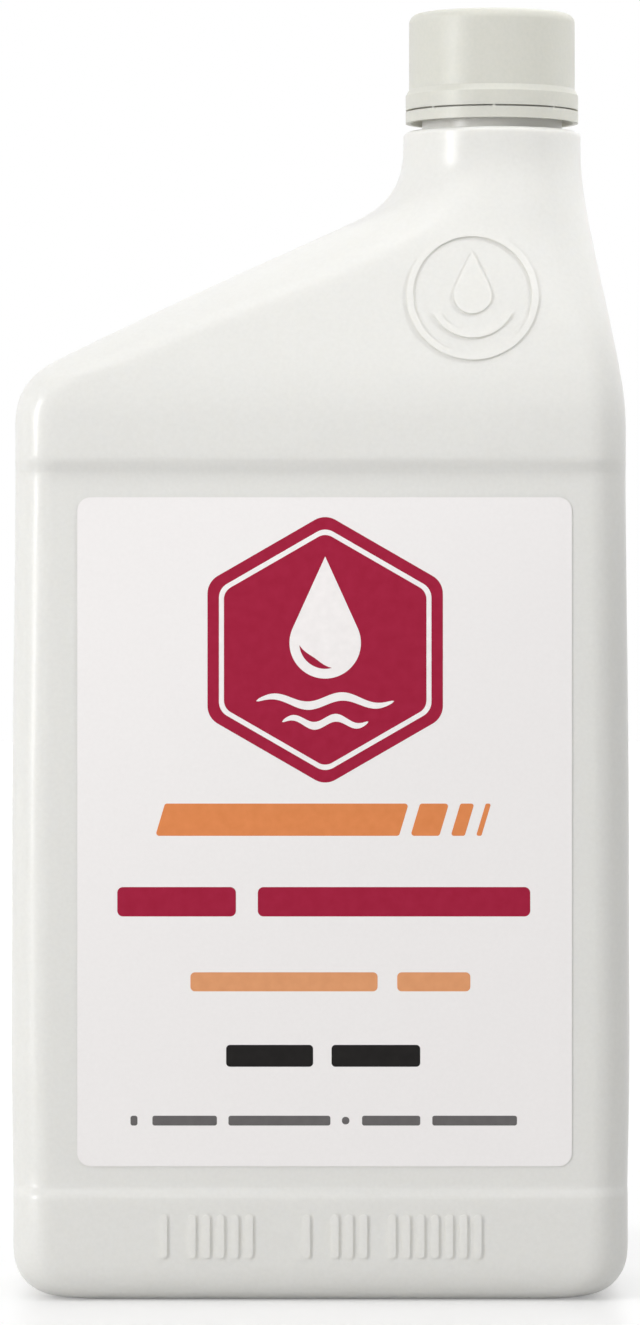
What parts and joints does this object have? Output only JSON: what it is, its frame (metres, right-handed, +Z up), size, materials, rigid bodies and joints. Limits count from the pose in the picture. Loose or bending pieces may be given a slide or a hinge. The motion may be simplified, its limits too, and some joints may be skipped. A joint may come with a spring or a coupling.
{
  "type": "motor oil bottle",
  "caption": "Flat rectangular one-quart oil bottle with a sloping shoulder, an offset screw neck, a screw cap over a tamper band, and a label on its front and back.",
  "frame": {"origin": "middle of the base, on the surface that the bottle stands on", "axes": "+Z up, -Y out of the front panel with its label, +X towards the side that carries the neck"},
  "size_m": [0.108, 0.0583, 0.2262],
  "materials": {
    "bottle": "satin white polyethylene",
    "cap": "satin off-white polypropylene",
    "tamper_band": "satin off-white polypropylene",
    "cap_liner": "matt white foam",
    "front_label": "smooth printed film",
    "back_label": "smooth printed film"
  },
  "bodies": {
    "bottle": {"bottle": "bottle", "front_label": "front_label", "back_label": "back_label"},
    "band": {"tamper_band": "tamper_band"},
    "liner": {"cap_liner": "cap_liner"},
    "cap": {"cap": "cap"}
  },
  "joints": [
    {"name": "cap_lift", "type": "slide", "parent": "bottle", "child": "liner", "axis": [0, 0, 1], "range_m": [0, 0.0212]},
    {"name": "cap_turn", "type": "hinge", "parent": "liner", "child": "cap", "pos_m": [0.0305, 0, 0.218], "axis": [0, 0, 1], "range_deg": [0, 1800]},
    {"name": "band_turn", "type": "hinge", "parent": "bottle", "child": "band", "pos_m": [0.0305, 0, 0.2078], "axis": [0, 0, 1], "continuous": true}
  ],
  "couplings": [
    {"joint": "cap_lift", "follows": "cap_turn", "m_per_rad": 0.00067323}
  ]
}
